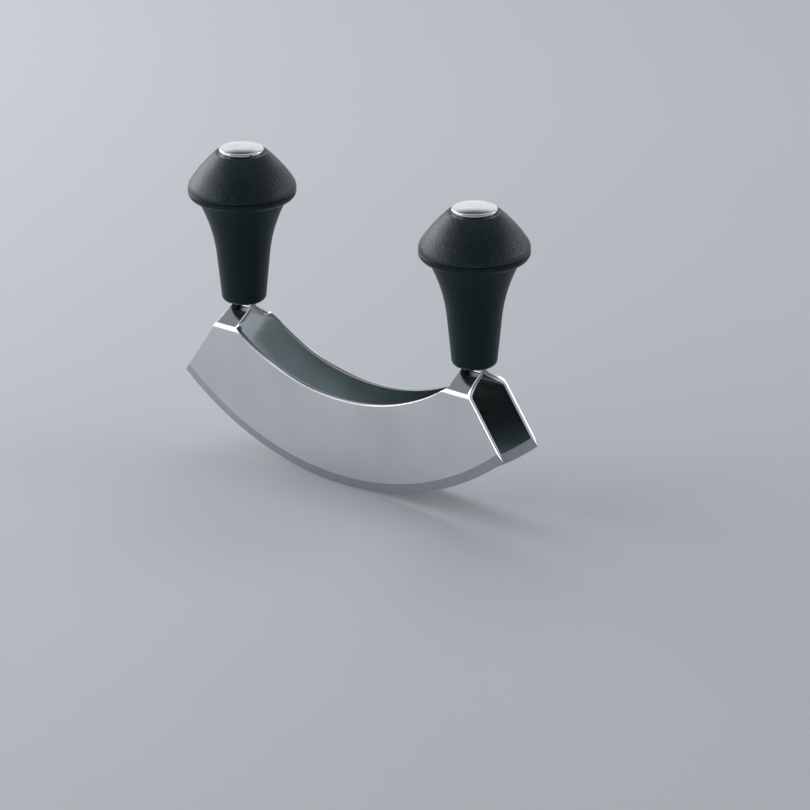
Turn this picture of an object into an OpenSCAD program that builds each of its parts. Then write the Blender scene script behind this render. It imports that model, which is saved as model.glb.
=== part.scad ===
// Mezzaluna with two parallel crescent blades and two upright mushroom handles.
// The cutting edges stand on z = 0. X runs along the blades and Y across the gap between them.
// Each blade's horns fold inwards and meet as tangs, which a tie rod pulls up into the handle.

/* [Blades] */
// Length of each blade from tip to tip
blade_length = 150; // [145:1:160]
// Radius of the cutting edge
cut_radius = 117.5; // [110:0.5:130]
// Radius of the hollow upper edge
hollow_radius = 84; // [80:0.5:88]
// Height of the blade in the middle
blade_height = 33.1; // [30:0.1:36]
// Thickness of the sheet
sheet = 2; // [1.6:0.1:2.2]
// Clear gap between the two blades
blade_gap = 17.8; // [16:0.1:20]
// Width of the ground bevel on each face
bevel_width = 3.7; // [2:0.1:5]
// Width of the land left along the cutting edge
edge_land = 0.15; // [0.1:0.05:0.3]

/* [Folded horns] */
// Width of the strap that rises from each horn
strap_width = 8.6; // [8:0.1:9.4]
// Slope of the strap above the horizontal
strap_slope = 33; // [28:1:36]
// Height at which the strap leaves the fold
fold_height = 49.9; // [49:0.1:50.5]
// Outer radius of the fold between blade and strap
fold_radius = 3.4; // [2.8:0.1:4]
// Radius of the hollow bend between strap and tang
root_radius = 1; // [0.6:0.1:1.4]
// Height at which the sloping end of the blade meets the strap
horn_height = 50.2; // [49:0.1:50.5]
// Radius in the corner between sloping end and strap
horn_fillet = 8; // [4:0.5:10]
// Radius in the corner between hollow edge and strap
strap_fillet = 1.6; // [1:0.1:2.5]
// Width of the tang inside the handle
tang_width = 6.6; // [6:0.1:7]
// Height of the tang's upper end
tang_top = 73; // [72:0.5:74]

/* [Handles] */
// Distance between the handle axes
handle_spacing = 108.4; // [107:0.1:110]
// Height of the handle's lower face
handle_bottom = 56.4; // [56.2:0.1:57]
// Radius that the shank would have at its lower face
shank_radius = 8.05; // [7.95:0.05:8.2]
// Outward lean of the shank on each side
shank_draft = 5.6; // [5.2:0.1:5.6]
// Rounding of the shank's lower edge
shank_edge = 2.4; // [1.5:0.1:2.4]
// Height at which the straight shank turns into the flared neck
neck_start = 74.2; // [74.2:0.1:75]
// Radius of the flared neck's curve
neck_curve = 57.5; // [57.5:0.5:62]
// Height of the crease between neck and collar
crease_height = 96; // [95.5:0.1:96]
// Largest radius of the handle
head_radius = 19.9; // [19.8:0.1:20.3]
// Radius of the rolled edge below the seam
collar_curve = 2.9; // [2.6:0.1:2.9]
// Height of the centre of the collar's rolled edge
collar_height = 99.1; // [99.1:0.05:99.3]
// Height of the seam between stem and head
seam_height = 99.5; // [99.4:0.05:99.6]
// Chamfer on both sides of the seam
seam_chamfer = 0.3; // [0.2:0.05:0.4]
// Curve of the shoulder above the seam
shoulder_curve = 4.4; // [4:0.1:5]
// Height of the handle's largest radius
shoulder_height = 100.2; // [100.1:0.1:100.6]
// Radius of the dome's long curve
dome_curve = 53; // [47:1:60]
// Height of the land under the cap
head_top = 113.75; // [113.5:0.05:114]
// Radius of the land under the cap
land_radius = 9.6; // [9:0.1:9.8]

/* [Caps] */
// Radius of the steel cap
cap_radius = 8.2; // [8:0.1:8.4]
// Height of the cap's rolled edge
cap_edge = 1.45; // [1.3:0.05:2]
// Rounding at the top of the rolled edge
cap_round = 0.5; // [0.4:0.1:0.9]
// Rise of the crowned top above the rolled edge
cap_crown = 0.6; // [0.4:0.1:1.2]
// Thickness of the cap's sheet
cap_wall = 0.8; // [0.6:0.1:1]
// Length of the skirt that presses into the head
cap_skirt = 3.4; // [3:0.1:3.6]

/* [Fastening] */
// Radius of the tie rod
rod_radius = 2.5; // [2.5:0.1:2.6]
// Height of the tie rod's upper end
rod_top = 112.6; // [112.2:0.1:112.8]
// Depth of the fork across both tangs
fork_depth = 8; // [7.6:0.1:8]
// Height of the fork's open end
fork_bottom = 58.2; // [58:0.1:58.6]
// Height of the fork's shoulder
fork_top = 76; // [75.5:0.1:76]
// Radius of the rivet shanks
rivet_radius = 1.5; // [1.3:0.1:1.6]
// Radius of the countersunk rivet heads
rivet_head = 2.3; // [2:0.1:2.4]
// Heights of the two rivets above the lower face of the handle
rivet_heights = [5.6, 12]; // [5:0.1:12.5]
// Radius of the recess for the nut
recess_radius = 7; // [6.8:0.1:7]
// Height of the floor of the recess
recess_floor = 105.6; // [105.4:0.1:105.8]
// Radius of the flat washer
washer_radius = 5; // [4.8:0.1:5.5]
// Thickness of the flat washer
washer_thick = 1; // [0.8:0.1:1]
// Radius of the spring washer
spring_radius = 4.6; // [4.4:0.1:4.8]
// Thickness of the spring washer
spring_thick = 1.2; // [1:0.1:1.2]
// Width of the nut across its flats
nut_flats = 8; // [7.8:0.1:8.2]
// Height of the nut
nut_height = 4; // [3.6:0.1:4]

/* [Hidden] */
// Radial clearance between pieces that fit into each other
fit = 0.05;
// Radial clearance round the rod and the fork
slack = 0.1;
// Wall and boss sizes inside the hollow handle
boss_radius = 5.5;
spigot_wall = 1.35;
spigot_depth = 1.8;
spigot_radius = 16.6;
bowl_floor = 91;
bowl_floor_radius = 10.2;
bowl_rim_radius = 15.2;
roof_height = 102.5;
roof_radius = 9.8;
dome_hollow = [[9.8, 108.2], [15.2, 103]];
// Long enough to run past any cut
far = 200;

blade_outer = blade_gap / 2 + sheet;
blade_middle = blade_outer - sheet / 2;
tip_x = blade_length / 2;
tip_z = cut_radius - sqrt(pow(cut_radius, 2) - pow(tip_x, 2));
axis_x = handle_spacing / 2;
strap_in = axis_x - strap_width / 2;
strap_out = axis_x + strap_width / 2;
hollow_centre = blade_height + hollow_radius;
hollow_end = hollow_centre - sqrt(pow(hollow_radius, 2) - pow(strap_in, 2));

// The sheet's cross-section: a fold of this turn, a straight strap, then the same turn back
fold_turn = 90 - strap_slope;
strap_normal = [cos(fold_turn), sin(fold_turn)];
fold_end = [blade_outer - fold_radius * (1 - cos(fold_turn)), fold_height];
fold_centre = fold_end - fold_radius * strap_normal;
root_start_y = sheet + root_radius * (1 - cos(fold_turn));
strap_run = (fold_end[0] - root_start_y) / sin(fold_turn);
root_start = fold_end + strap_run * [-sin(fold_turn), cos(fold_turn)];
root_centre = root_start + root_radius * strap_normal;

// Outline of the handle, as radius and height
function shank_at(z) = shank_radius + (z - handle_bottom) * tan(shank_draft);
neck_point = [shank_at(neck_start), neck_start];
neck_centre = neck_point + neck_curve * [cos(shank_draft), -sin(shank_draft)];
function neck_at(z) = neck_centre[0] - sqrt(pow(neck_curve, 2) - pow(z - neck_centre[1], 2));
crease = [neck_at(crease_height), crease_height];
collar_centre = [head_radius - collar_curve, collar_height];
collar_arm = crease - collar_centre;
collar_angle = atan2(collar_arm[1], collar_arm[0]) + acos(collar_curve / norm(collar_arm));
collar_tangent = collar_centre + collar_curve * [cos(collar_angle), sin(collar_angle)];

// The dome's long curve runs through the land's rim and touches the shoulder's curve from inside
shoulder_centre = [head_radius - shoulder_curve, shoulder_height];
land_rim = [land_radius, head_top];
dome_line = shoulder_centre - land_rim;
dome_gap = norm(dome_line);
dome_along = (pow(dome_curve, 2) - pow(dome_curve - shoulder_curve, 2) + pow(dome_gap, 2)) / (2 * dome_gap);
dome_aside = sqrt(pow(dome_curve, 2) - pow(dome_along, 2));
dome_unit = dome_line / dome_gap;
dome_centre = land_rim + dome_along * dome_unit + dome_aside * [dome_unit[1], -dome_unit[0]];
dome_unit_out = (shoulder_centre - dome_centre) / norm(shoulder_centre - dome_centre);
dome_start = shoulder_centre[1] + shoulder_curve * dome_unit_out[1];

cap_top_radius = cap_radius - cap_round;
crown_curve = (pow(cap_top_radius, 2) + pow(cap_crown, 2)) / (2 * cap_crown);
washer_top = recess_floor + washer_thick;
spring_top = washer_top + spring_thick;

steel = [0.78, 0.80, 0.82];
bright_steel = [0.86, 0.87, 0.88];
zinc = [0.62, 0.64, 0.66];
grip_black = [0.13, 0.16, 0.17];
head_black = [0.16, 0.20, 0.21];

$fn = 128;

// Area under one face of the sheet in Y and Z, from the cutting edge up to the start of the tang.
// Depth 0 is the outer face, and the sheet's thickness gives the inner one.
module under_face(depth, left) {
    fold_curve = fold_radius - depth;
    root_curve = root_radius + depth;
    web = blade_outer - depth;
    web_top = fold_centre[1];
    root_top = root_centre[1];
    strap_low = fold_centre + fold_curve * strap_normal;
    strap_high = root_centre - root_curve * strap_normal;
    polygon([[left, left], [web, left], [web, web_top], strap_low, strap_high, [left, strap_high[1]]]);
    intersection() {
        translate(fold_centre) circle(r = fold_curve);
        polygon([fold_centre, [web + 1, web_top], [web + 1, strap_low[1]], [fold_centre[0], strap_low[1]]]);
    }
    difference() {
        polygon([[left, strap_high[1]], strap_high, [strap_high[0], root_top], [left, root_top]]);
        translate(root_centre) circle(r = root_curve);
    }
}

// Cross-section of the sheet in Y and Z
module sheet_section() {
    root_top = root_centre[1];
    difference() {
        union() {
            under_face(0, 0);
            polygon([[0, root_top], [sheet, root_top], [sheet, tang_top], [0, tang_top]]);
        }
        under_face(sheet, -1);
    }
}

// Fills the hollow corner at a point with a radius; the two arms point along its edges.
// The fill reaches back into the sheet, so that it fuses with it.
module corner_fill(corner, arm_a, arm_b, radius) {
    half_turn = (180 - acos(arm_a * arm_b)) / 2;
    reach = radius * tan(half_turn);
    middle = (arm_a + arm_b) / norm(arm_a + arm_b);
    difference() {
        polygon([corner - middle, corner + reach * arm_a, corner + reach * arm_b]);
        translate(corner + radius / cos(half_turn) * middle) circle(r = radius);
    }
}

// One half of the blade's outline in X and Z, with one strap and one tang
module half_outline() {
    tang_in = axis_x - tang_width / 2;
    tang_out = axis_x + tang_width / 2;
    tip = [tip_x, tip_z];
    horn = [strap_out, horn_height];
    to_tip = (tip - horn) / norm(tip - horn);
    hollow_slope = asin(strap_in / hollow_radius);
    difference() {
        polygon([
            [0, 0],
            [tip_x, 0],
            tip,
            horn,
            [strap_out, handle_bottom],
            [tang_out, handle_bottom],
            [tang_out, tang_top],
            [tang_in, tang_top],
            [tang_in, handle_bottom],
            [strap_in, handle_bottom],
            [strap_in, hollow_end],
            [0, hollow_end]
        ]);
        // The hollow edge stops at the strap
        intersection() {
            translate([0, hollow_centre]) circle(r = hollow_radius, $fn = 360);
            translate([strap_in - far, 0]) square([far, far]);
        }
    }
    corner_fill(horn, to_tip, [0, 1], horn_fillet);
    corner_fill([strap_in, hollow_end], [0, 1], [-cos(hollow_slope), -sin(hollow_slope)], strap_fillet);
}

// Disc with a wedge-shaped rim, which grinds both faces of the sheet down to the cutting edge
module grinding_disc() {
    face = cut_radius - bevel_width;
    translate([0, blade_middle, cut_radius]) rotate([90, 0, 0])
        rotate_extrude($fn = 360) polygon([
            [0, -far],
            [face, -far],
            [face, -sheet / 2],
            [cut_radius, -edge_land / 2],
            [cut_radius, edge_land / 2],
            [face, sheet / 2],
            [face, far],
            [0, far]
        ]);
}

// The blade on the +Y side of the gap
module blade() {
    difference() {
        intersection() {
            translate([-tip_x, 0, 0]) rotate([90, 0, 90]) linear_extrude(blade_length) sheet_section();
            rotate([90, 0, 0]) linear_extrude(far, center = true) {
                half_outline();
                mirror([1, 0]) half_outline();
            }
            grinding_disc();
        }
        for (side = [-1, 1], rise = rivet_heights)
            translate([side * axis_x, 0, handle_bottom + rise]) rotate([90, 0, 0])
                cylinder(r = rivet_radius + fit, h = 4 * sheet, center = true);
    }
}

module front_blade() {
    color(steel) mirror([0, 1, 0]) blade();
}

module back_blade() {
    color(steel) blade();
}

// Puts a handle's piece on the left axis for side -1 and on the right axis for side 1
module on_handle(side) {
    translate([side * axis_x, 0, 0]) children();
}

// Outline of the stem: rounded foot, drafted shank, flared neck, and rolled collar up to the seam
module stem_outline() {
    foot_top = handle_bottom + shank_edge;
    foot_radius = shank_at(foot_top) - shank_edge;
    translate([0, handle_bottom]) square([foot_radius, shank_edge]);
    intersection() {
        translate([foot_radius, foot_top]) circle(r = shank_edge);
        translate([0, handle_bottom]) square([far, shank_edge]);
    }
    polygon([[0, foot_top], [shank_at(foot_top), foot_top], neck_point, [0, neck_start]]);
    difference() {
        translate([0, neck_start]) square([crease[0], crease_height - neck_start]);
        translate(neck_centre) circle(r = neck_curve, $fn = 360);
    }
    polygon([[0, crease_height], crease, collar_tangent, [0, collar_tangent[1]]]);
    translate([0, collar_tangent[1]]) square([collar_centre[0], seam_height - collar_tangent[1]]);
    intersection() {
        translate(collar_centre) circle(r = collar_curve);
        translate([0, collar_tangent[1]]) square([far, seam_height - collar_tangent[1]]);
    }
}

module stem() {
    seam_edge = collar_centre[0] + sqrt(pow(collar_curve, 2) - pow(seam_height - collar_height, 2));
    recess_bottom = seam_height - spigot_depth - slack;
    slot = [tang_width + 2 * slack, fork_depth + 2 * slack];
    slot_top = fork_top + 4 * slack;
    difference() {
        rotate_extrude() difference() {
            stem_outline();
            // Chamfer below the seam
            polygon([
                [seam_edge - seam_chamfer, seam_height],
                [seam_edge + seam_chamfer, seam_height],
                [seam_edge + seam_chamfer, seam_height - 2 * seam_chamfer]
            ]);
            // Hollow round the boss, with a recess at the rim for the head's spigot
            polygon([
                [boss_radius, seam_height + 1],
                [boss_radius, bowl_floor],
                [bowl_floor_radius, bowl_floor],
                [bowl_rim_radius, recess_bottom],
                [spigot_radius, recess_bottom],
                [spigot_radius, seam_height + 1]
            ]);
        }
        translate([0, 0, handle_bottom - 1]) cylinder(r = rod_radius + slack, h = far);
        translate([-slot[0] / 2, -slot[1] / 2, handle_bottom - 1])
            cube([slot[0], slot[1], slot_top - handle_bottom + 1]);
    }
}

// Outline of the head: shoulder, long dome curve and flat land, with the spigot below the seam
module head_outline() {
    translate([0, seam_height]) square([shoulder_centre[0], dome_start - seam_height]);
    intersection() {
        translate(shoulder_centre) circle(r = shoulder_curve);
        translate([0, seam_height]) square([far, dome_start - seam_height]);
    }
    intersection() {
        translate(dome_centre) circle(r = dome_curve, $fn = 360);
        translate([0, dome_start]) square([far, head_top - dome_start]);
    }
    translate([0, seam_height - spigot_depth]) square([spigot_radius - fit, spigot_depth]);
}

module head() {
    seam_edge = shoulder_centre[0] + sqrt(pow(shoulder_curve, 2) - pow(seam_height - shoulder_height, 2));
    hollow_radius_low = spigot_radius - fit - spigot_wall;
    difference() {
        rotate_extrude() difference() {
            head_outline();
            // Chamfer above the seam
            polygon([
                [seam_edge - seam_chamfer, seam_height],
                [seam_edge + seam_chamfer, seam_height],
                [seam_edge + seam_chamfer, seam_height + 2 * seam_chamfer]
            ]);
            // Hollow round the boss, open to the stem's hollow
            polygon([
                [boss_radius, seam_height],
                [boss_radius, roof_height],
                [roof_radius, roof_height + 1],
                dome_hollow[0],
                dome_hollow[1],
                [hollow_radius_low, seam_height - spigot_depth - 1],
                [0, seam_height - spigot_depth - 1],
                [0, seam_height]
            ]);
        }
        translate([0, 0, seam_height - 1]) cylinder(r = rod_radius + slack, h = far);
        translate([0, 0, recess_floor]) cylinder(r = recess_radius, h = far);
    }
}

// Pressed button: rolled edge and crowned top, with a skirt that presses into the recess
module cap() {
    edge_top = head_top + cap_edge;
    skirt_radius = recess_radius - fit;
    ceiling = edge_top + cap_crown - crown_curve;
    rotate_extrude() {
        difference() {
            union() {
                translate([0, head_top]) square([cap_radius, cap_edge - cap_round]);
                translate([0, head_top]) square([cap_top_radius, cap_edge]);
                intersection() {
                    translate([cap_top_radius, edge_top - cap_round]) circle(r = cap_round);
                    translate([0, head_top]) square([cap_radius, cap_edge]);
                }
                intersection() {
                    translate([0, ceiling]) circle(r = crown_curve, $fn = 360);
                    translate([0, edge_top]) square([cap_top_radius, cap_crown]);
                }
            }
            translate([0, head_top - 1]) square([skirt_radius - cap_wall, cap_edge + 1 - cap_wall]);
        }
        translate([skirt_radius - cap_wall, head_top - cap_skirt]) square([cap_wall, cap_skirt]);
    }
}

// Round rod whose foot is a fork over both tangs
module tie_rod() {
    fork_height = fork_top - fork_bottom;
    slot_width = 2 * (sheet + fit);
    difference() {
        union() {
            translate([0, 0, fork_top]) cylinder(r = rod_radius, h = rod_top - fork_top);
            translate([-tang_width / 2, -fork_depth / 2, fork_bottom])
                cube([tang_width, fork_depth, fork_height]);
        }
        translate([-tang_width, -slot_width / 2, fork_bottom - 1])
            cube([2 * tang_width, slot_width, tang_top + fit - fork_bottom + 1]);
        for (rise = rivet_heights)
            translate([0, 0, handle_bottom + rise]) rivet(fit);
    }
}

// Rivet along Y with a countersunk head at each end, grown by a clearance to cut its hole
module rivet(grow) {
    half = fork_depth / 2;
    cone = rivet_head - rivet_radius;
    rotate([90, 0, 0]) {
        cylinder(r = rivet_radius + grow, h = fork_depth, center = true);
        translate([0, 0, half - cone]) cylinder(r1 = rivet_radius + grow, r2 = rivet_head + grow, h = cone);
        translate([0, 0, -half]) cylinder(r1 = rivet_head + grow, r2 = rivet_radius + grow, h = cone);
    }
}

module rivets() {
    for (rise = rivet_heights)
        translate([0, 0, handle_bottom + rise]) rivet(0);
}

// Flat ring round the rod
module ring(z, radius, thick) {
    translate([0, 0, z]) difference() {
        cylinder(r = radius, h = thick);
        translate([0, 0, -1]) cylinder(r = rod_radius + fit, h = thick + 2);
    }
}

module washer() {
    ring(recess_floor, washer_radius, washer_thick);
}

// Ring with a narrow slanting split
module spring_washer() {
    difference() {
        ring(washer_top, spring_radius, spring_thick);
        translate([0, 0, washer_top + spring_thick / 2]) rotate([30, 0, 0])
            translate([0, -0.4, -far / 2]) cube([spring_radius + 1, 0.8, far]);
    }
}

// Hexagon nut
module nut() {
    difference() {
        translate([0, 0, spring_top]) cylinder(r = nut_flats / sqrt(3), h = nut_height, $fn = 6);
        translate([0, 0, spring_top - 1]) cylinder(r = rod_radius + fit, h = nut_height + 2);
    }
}

module left_stem() { color(grip_black) on_handle(-1) stem(); }
module left_head() { color(head_black) on_handle(-1) head(); }
module left_cap() { color(bright_steel) on_handle(-1) cap(); }
module left_tie_rod() { color(zinc) on_handle(-1) tie_rod(); }
module left_rivets() { color(steel) on_handle(-1) rivets(); }
module left_washer() { color(zinc) on_handle(-1) washer(); }
module left_spring_washer() { color(zinc) on_handle(-1) spring_washer(); }
module left_nut() { color(zinc) on_handle(-1) nut(); }
module right_stem() { color(grip_black) on_handle(1) stem(); }
module right_head() { color(head_black) on_handle(1) head(); }
module right_cap() { color(bright_steel) on_handle(1) cap(); }
module right_tie_rod() { color(zinc) on_handle(1) tie_rod(); }
module right_rivets() { color(steel) on_handle(1) rivets(); }
module right_washer() { color(zinc) on_handle(1) washer(); }
module right_spring_washer() { color(zinc) on_handle(1) spring_washer(); }
module right_nut() { color(zinc) on_handle(1) nut(); }

front_blade();
back_blade();
left_stem();
left_head();
left_cap();
left_tie_rod();
left_rivets();
left_washer();
left_spring_washer();
left_nut();
right_stem();
right_head();
right_cap();
right_tie_rod();
right_rivets();
right_washer();
right_spring_washer();
right_nut();
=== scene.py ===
"""Mezzaluna with two crescent blades and two mushroom handles: surfaces, finishes, light and camera.

Every shape is worked out in millimetres in the part's own frame and written to its mesh in metres.
"""

import logging
import math
from dataclasses import dataclass, field
from enum import Enum
from typing import Any, Callable, Iterable, Sequence

import bmesh
import bpy
import numpy as np
from mathutils import Matrix, Vector


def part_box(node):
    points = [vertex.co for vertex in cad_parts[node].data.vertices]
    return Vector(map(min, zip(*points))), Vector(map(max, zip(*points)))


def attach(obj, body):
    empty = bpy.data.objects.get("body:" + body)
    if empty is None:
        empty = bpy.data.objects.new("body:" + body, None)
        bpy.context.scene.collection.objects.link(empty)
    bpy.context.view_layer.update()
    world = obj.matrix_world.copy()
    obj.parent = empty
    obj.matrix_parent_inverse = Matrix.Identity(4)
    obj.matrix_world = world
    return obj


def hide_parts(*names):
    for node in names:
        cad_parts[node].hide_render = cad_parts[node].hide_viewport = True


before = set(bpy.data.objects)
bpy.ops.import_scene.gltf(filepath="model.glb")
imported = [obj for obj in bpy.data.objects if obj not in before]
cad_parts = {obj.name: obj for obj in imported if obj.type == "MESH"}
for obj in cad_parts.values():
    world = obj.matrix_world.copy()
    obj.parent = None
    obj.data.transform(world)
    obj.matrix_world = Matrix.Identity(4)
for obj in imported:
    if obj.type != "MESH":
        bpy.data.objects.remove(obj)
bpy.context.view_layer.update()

LOG = logging.getLogger("mezzaluna")
MM = 0.001
BODY = "root"
# Turns between faces that stay sharp, in degrees: above the steps of the sheet's bends and the turned arcs
SHEET_SHARP = 11
MOULDED_SHARP = 18
PRESSED_SHARP = 25


class Side(Enum):
    """The two handles, named as the camera sees them."""

    LEFT = "left"
    RIGHT = "right"

    @property
    def sign(self) -> int:
        """Direction of the handle along X."""
        return -1 if self is Side.LEFT else 1


class Blade(Enum):
    """The two blades; the front one is nearer to the camera."""

    FRONT = "front_blade"
    BACK = "back_blade"

    @property
    def sign(self) -> int:
        """Direction of the blade along Y."""
        return -1 if self is Blade.FRONT else 1


def node_box(name: str) -> tuple[np.ndarray, np.ndarray]:
    """Gives the lowest and highest corner of a CAD node.

    Args:
        name: the node's name.

    Returns:
        Both corners in millimetres.
    """
    low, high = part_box(name)
    return np.array(low) / MM, np.array(high) / MM


# Colour and node helpers


def linear(code: str) -> tuple[float, float, float, float]:
    """Turns an sRGB hex colour into linear RGBA.

    Args:
        code: the colour as "#rrggbb".

    Returns:
        Linear red, green, blue and an alpha of 1.
    """
    channels = [int(code[i:i + 2], 16) / 255 for i in (1, 3, 5)]
    levels = [c / 12.92 if c <= 0.04045 else ((c + 0.055) / 1.055) ** 2.4 for c in channels]
    return levels[0], levels[1], levels[2], 1.0


def add_node(tree: bpy.types.NodeTree, kind: str, inputs: dict[Any, Any] | None = None, **settings: Any):
    """Adds a shader node with its settings, values and links.

    Args:
        tree: the node tree.
        kind: the node's type name.
        inputs: socket name or number to a value, or to an output socket to link.
        settings: properties of the node.

    Returns:
        The new node.
    """
    node = tree.nodes.new(kind)
    for name, value in settings.items():
        setattr(node, name, value)
    for key, value in (inputs or {}).items():
        if isinstance(value, bpy.types.NodeSocket):
            tree.links.new(value, node.inputs[key])
        else:
            node.inputs[key].default_value = value
    return node


def new_material(name: str) -> tuple[bpy.types.Material, bpy.types.NodeTree, bpy.types.Node]:
    """Makes an empty material with an output node.

    Args:
        name: the material's name.

    Returns:
        The material, its tree and the output node.
    """
    material = bpy.data.materials.new(name)
    material.use_nodes = True
    tree = material.node_tree
    tree.nodes.clear()
    return material, tree, add_node(tree, "ShaderNodeOutputMaterial")


def ramp(tree: bpy.types.NodeTree, factor: bpy.types.NodeSocket, stops: Sequence[tuple[float, Any]]):
    """Adds a colour ramp through the given stops.

    Args:
        tree: the node tree.
        factor: the socket that drives the ramp.
        stops: positions and colours, in order.

    Returns:
        The ramp's colour socket.
    """
    node = add_node(tree, "ShaderNodeValToRGB", {0: factor})
    band = node.color_ramp
    for _ in range(len(stops) - 2):
        band.elements.new(0.5)
    for element, (place, colour) in zip(band.elements, stops):
        element.position = place
        element.color = colour
    return node.outputs[0]


def grey(level: float) -> tuple[float, float, float, float]:
    """A neutral linear colour of the given level."""
    return level, level, level, 1.0


def per_metre(size_mm: float) -> float:
    """Texture scale at which one pattern cell measures size_mm."""
    return 1.0 / (size_mm * MM)


# Finishes


@dataclass(frozen=True)
class SteelSheet:
    """Cold-rolled stainless sheet.

    A soft mirror: reflections keep their edges but lose fine detail, with faint streaks along the
    blade and slow unevenness where the sheet isn't perfectly flat. The outside is polished after
    forming, and the inside, which a wheel can't reach, keeps a duller mill finish. The inside's
    colour is painted darker and greener than the steel: painted shade and a painted green reflection
    between the blades.
    """

    name: str
    steel: str
    warm_steel: str
    smooth: float
    streaky: float
    streak_mm: tuple[float, float] = (9.0, 0.35)
    wave_mm: float = 28.0

    def material(self) -> bpy.types.Material:
        """Builds the material."""
        material, tree, out = new_material(self.name)
        where = add_node(tree, "ShaderNodeTexCoord").outputs["Object"]
        along, across = (per_metre(s) for s in self.streak_mm)
        stretched = add_node(tree, "ShaderNodeMapping", {"Vector": where, "Scale": (along, across, across)})
        streaks = add_node(tree, "ShaderNodeTexNoise", {
            "Vector": stretched.outputs[0], "Scale": 1.0, "Detail": 3.0, "Roughness": 0.6,
        }).outputs[0]
        waves = add_node(tree, "ShaderNodeTexNoise", {
            "Vector": where, "Scale": per_metre(self.wave_mm), "Detail": 1.0,
        }).outputs[0]
        roughness = add_node(tree, "ShaderNodeMapRange", {
            0: streaks, 1: 0.35, 2: 0.7, 3: self.smooth, 4: self.streaky,
        }).outputs[0]
        colour = ramp(tree, waves, [(0.35, linear(self.steel)), (0.65, linear(self.warm_steel))])
        soft = add_node(tree, "ShaderNodeBump", {"Strength": 0.25, "Distance": 0.00006, "Height": waves})
        fine = add_node(tree, "ShaderNodeBump", {
            "Strength": 0.12, "Distance": 0.000004, "Height": streaks, "Normal": soft.outputs[0],
        })
        shader = add_node(tree, "ShaderNodeBsdfPrincipled", {
            "Base Color": colour, "Metallic": 1.0, "Roughness": roughness, "Normal": fine.outputs[0],
        })
        tree.links.new(shader.outputs[0], out.inputs[0])
        return material


@dataclass(frozen=True)
class GroundBevel:
    """Bevel ground across the cutting edge on a fine belt.

    Duller and a little darker than the polished face, with scratches that run from the grind line
    to the edge. Real scratches of a fine belt are about 0.05 mm wide; they are drawn 0.3 mm wide.
    """

    name: str = "stainless_bevel_ground"
    steel: str = "#c0c4c8"
    scratched: str = "#a9aeb3"
    smooth: float = 0.20
    rough: float = 0.36
    scratch_mm: tuple[float, float] = (0.3, 12.0)

    def material(self) -> bpy.types.Material:
        """Builds the material."""
        material, tree, out = new_material(self.name)
        where = add_node(tree, "ShaderNodeUVMap", uv_map="surface").outputs[0]
        along, across = (1.0 / s for s in self.scratch_mm)
        stretched = add_node(tree, "ShaderNodeMapping", {"Vector": where, "Scale": (along, across, 1.0)})
        scratches = add_node(tree, "ShaderNodeTexNoise", {
            "Vector": stretched.outputs[0], "Scale": 1.0, "Detail": 4.0, "Roughness": 0.7,
        }).outputs[0]
        roughness = add_node(tree, "ShaderNodeMapRange", {
            0: scratches, 1: 0.3, 2: 0.7, 3: self.smooth, 4: self.rough,
        }).outputs[0]
        colour = ramp(tree, scratches, [(0.3, linear(self.steel)), (0.7, linear(self.scratched))])
        bump = add_node(tree, "ShaderNodeBump", {"Strength": 0.3, "Distance": 0.00001, "Height": scratches})
        shader = add_node(tree, "ShaderNodeBsdfPrincipled", {
            "Base Color": colour, "Metallic": 1.0, "Roughness": roughness, "Normal": bump.outputs[0],
        })
        tree.links.new(shader.outputs[0], out.inputs[0])
        return material


@dataclass(frozen=True)
class BlankedEdge:
    """Cut edge of a blanked sheet.

    The punch leaves a burnished band and a duller torn band with short marks across the sheet.
    Between them runs a dark line of painted shade.
    """

    name: str = "stainless_edge_blanked_painted_shade_line"
    burnished: str = "#eceef0"
    # Painted shade: the dark line across the middle of the cut edge
    line: str = "#33383b"
    torn: str = "#979ca1"
    mark_mm: float = 0.4

    def material(self) -> bpy.types.Material:
        """Builds the material."""
        material, tree, out = new_material(self.name)
        where = add_node(tree, "ShaderNodeUVMap", uv_map="surface").outputs[0]
        across = add_node(tree, "ShaderNodeSeparateXYZ", {0: where}).outputs[1]
        marks_at = add_node(tree, "ShaderNodeMapping", {
            "Vector": where, "Scale": (1 / self.mark_mm, 1.5, 1.0),
        })
        marks = add_node(tree, "ShaderNodeTexNoise", {
            "Vector": marks_at.outputs[0], "Scale": 1.0, "Detail": 2.0,
        }).outputs[0]
        waver = add_node(tree, "ShaderNodeMath", {0: marks, 1: 0.08, 2: across}, operation="MULTIPLY_ADD")
        # Burnished band, then the painted dark shade line, then the torn band
        colour = ramp(tree, waver.outputs[0], [
            (0.36, linear(self.burnished)), (0.47, linear(self.line)),
            (0.56, linear(self.line)), (0.66, linear(self.torn)),
        ])
        roughness = ramp(tree, waver.outputs[0], [(0.45, grey(0.2)), (0.6, grey(0.42))])
        bump = add_node(tree, "ShaderNodeBump", {"Strength": 0.3, "Distance": 0.00003, "Height": marks})
        shader = add_node(tree, "ShaderNodeBsdfPrincipled", {
            "Base Color": colour, "Metallic": 1.0, "Roughness": roughness, "Normal": bump.outputs[0],
        })
        tree.links.new(shader.outputs[0], out.inputs[0])
        return material


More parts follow.
